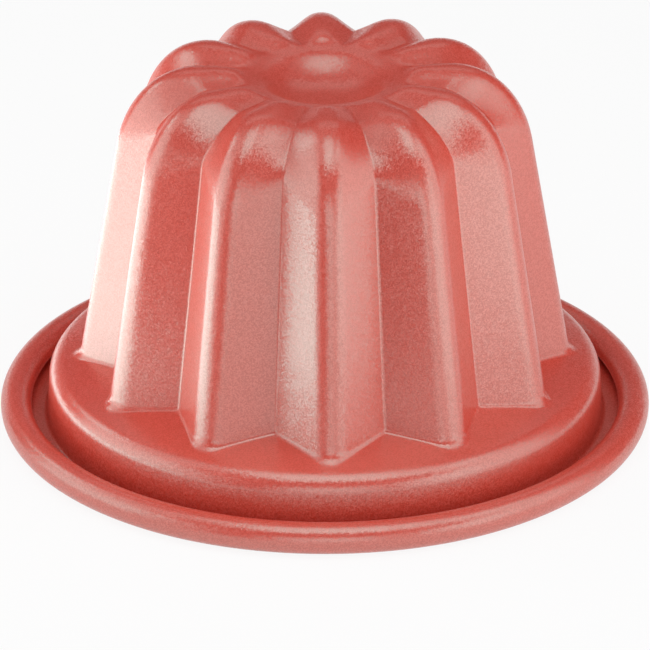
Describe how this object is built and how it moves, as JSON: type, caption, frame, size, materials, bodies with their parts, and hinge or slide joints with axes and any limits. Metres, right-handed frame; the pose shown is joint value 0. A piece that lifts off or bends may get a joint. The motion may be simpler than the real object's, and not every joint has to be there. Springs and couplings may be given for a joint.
{
  "type": "canele mould",
  "caption": "Fluted steel baking mould for a canele cake, with a dished crown, a sloping round ledge and an open rolled rim, standing mouth down.",
  "frame": {"origin": "centre of the mouth, on the plane of the rolled rim's underside, which the mould stands on", "axes": "+Z along the mould's own axis, from the mouth up to the closed crown; -Y through the middle of a lobe"},
  "size_m": [0.08, 0.08, 0.0462],
  "materials": {
    "coating": "pearl coral-red baked coating on steel sheet, satin, with a fine metallic grain"
  },
  "bodies": {
    "root": {"mould": "coating"}
  },
  "joints": []
}
